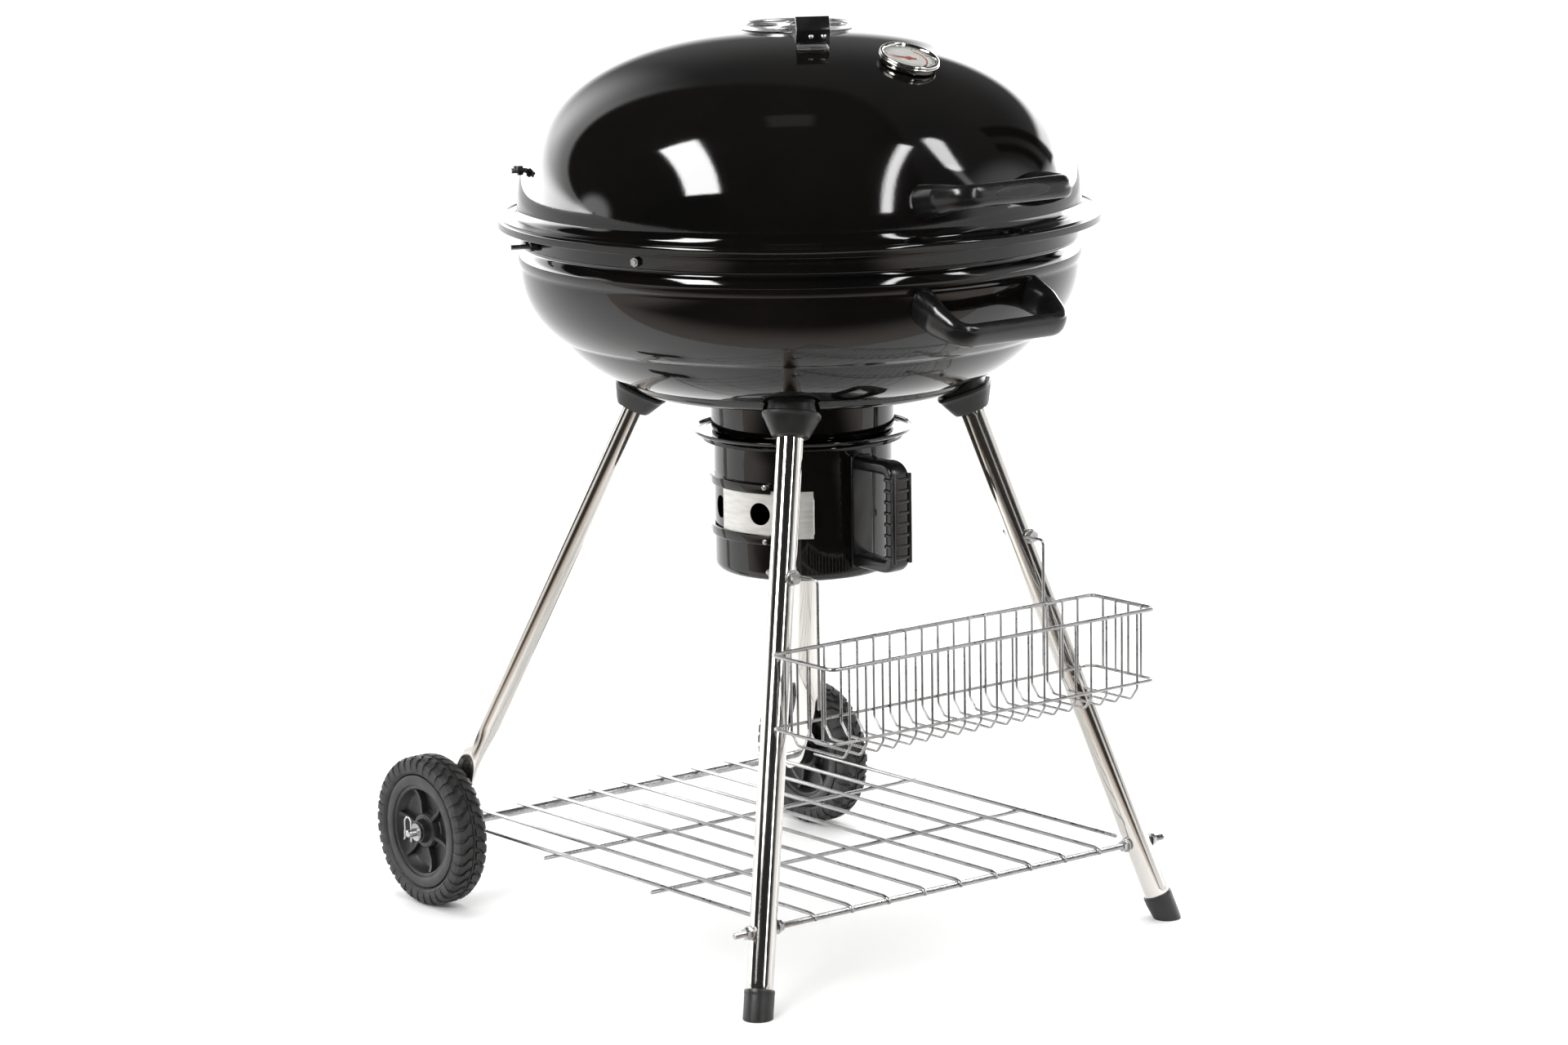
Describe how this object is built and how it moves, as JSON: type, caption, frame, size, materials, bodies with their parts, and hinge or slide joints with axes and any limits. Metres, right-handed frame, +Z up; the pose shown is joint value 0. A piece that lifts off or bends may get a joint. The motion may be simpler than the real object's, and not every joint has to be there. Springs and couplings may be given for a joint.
{
  "type": "kettle charcoal grill",
  "caption": "Round kettle charcoal grill: enamelled lid and bowl on splayed tube legs, with ash bucket, dampers, wire shelf, wire basket and wheels.",
  "frame": {"origin": "on the ground, in the middle of the whole grill's footprint box", "axes": "+Z up; the handles, thermometer and basket face -Y; the wheels are at +Y; the axle is along X"},
  "size_m": [0.5849, 0.7004, 0.904],
  "materials": {
    "enamel": "glossy vitreous enamel",
    "black_plastic": "moulded, glossy",
    "matt_black": "moulded, satin",
    "zinc": "zinc plated",
    "chrome_tube": "bright chrome",
    "chrome_wire": "chromed wire",
    "grate_steel": "bare steel wire",
    "aluminium": "satin",
    "dial_white": "matt printed",
    "needle_red": "satin",
    "glass": "clear",
    "tyre": "moulded black rubber"
  },
  "bodies": {
    "stand": {"bowl_shell": "enamel", "bowl_handle": "black_plastic", "bowl_handle_bolts": "zinc", "grate_brackets": "zinc", "grate_bracket_bolts": "zinc", "lid_peg": "zinc", "lid_peg_wingnut": "matt_black", "ash_neck": "enamel", "ash_ring": "enamel", "leg_front_left": "chrome_tube", "leg_front_right": "chrome_tube", "leg_rear_left": "chrome_tube", "leg_rear_right": "chrome_tube", "leg_sockets": "matt_black", "leg_inserts": "matt_black", "socket_bolts": "zinc", "foot_caps": "matt_black", "axle_spacers": "matt_black", "axle": "zinc", "shelf": "chrome_wire", "shelf_rod": "zinc", "shelf_rod_nuts": "zinc", "basket": "chrome_wire", "basket_hooks": "chrome_wire", "hook_bolts": "zinc", "hook_nuts": "zinc", "wheel_washers": "zinc", "split_pins": "zinc"},
    "lid": {"lid_shell": "enamel", "lid_handle": "black_plastic", "lid_handle_bolts": "zinc", "thermometer_case": "chrome_tube", "thermometer_dial": "dial_white", "thermometer_needle": "needle_red", "thermometer_lens": "glass", "thermometer_probe": "zinc", "thermometer_nut": "zinc", "lid_hook": "zinc", "lid_hook_wingnut": "matt_black", "vent_rivet": "aluminium"},
    "top_damper": {"vent_damper": "aluminium", "vent_grip": "matt_black", "vent_grip_rivets": "zinc"},
    "cooking_grate": {"cooking_grate": "chrome_wire"},
    "charcoal_grate": {"charcoal_grate": "grate_steel"},
    "ash_bucket": {"ash_bucket": "enamel", "bucket_handle": "black_plastic", "bucket_handle_rivets": "zinc", "damper_rails": "matt_black", "rail_rivets": "zinc"},
    "ash_damper": {"damper_plate": "aluminium"},
    "wheel_left": {"tyre_left": "tyre", "wheel_left": "matt_black"},
    "wheel_right": {"tyre_right": "tyre", "wheel_right": "matt_black"}
  },
  "joints": [
    {"name": "lid_lift", "type": "slide", "parent": "stand", "child": "lid", "axis": [0, 0, 1], "range_m": [0, 0.3]},
    {"name": "top_damper_turn", "type": "hinge", "parent": "lid", "child": "top_damper", "pos_m": [0, -0.02278, 0.885], "axis": [0, 0, -1], "range_deg": [0, 45]},
    {"name": "cooking_grate_lift", "type": "slide", "parent": "stand", "child": "cooking_grate", "axis": [0, 0, 1], "range_m": [0, 0.03]},
    {"name": "charcoal_grate_lift", "type": "slide", "parent": "stand", "child": "charcoal_grate", "axis": [0, 0, 1], "range_m": [0, 0.05]},
    {"name": "ash_bucket_drop", "type": "slide", "parent": "stand", "child": "ash_bucket", "axis": [0, 0, -1], "range_m": [0, 0.12]},
    {"name": "ash_damper_turn", "type": "hinge", "parent": "ash_bucket", "child": "ash_damper", "pos_m": [0, -0.02278, 0.4226], "axis": [0, 0, -1], "range_deg": [0, 16]},
    {"name": "wheel_left_spin", "type": "hinge", "parent": "stand", "child": "wheel_left", "pos_m": [-0.248, 0.27422, 0.076], "axis": [1, 0, 0], "continuous": true},
    {"name": "wheel_right_spin", "type": "hinge", "parent": "stand", "child": "wheel_right", "pos_m": [0.248, 0.27422, 0.076], "axis": [1, 0, 0], "continuous": true}
  ]
}
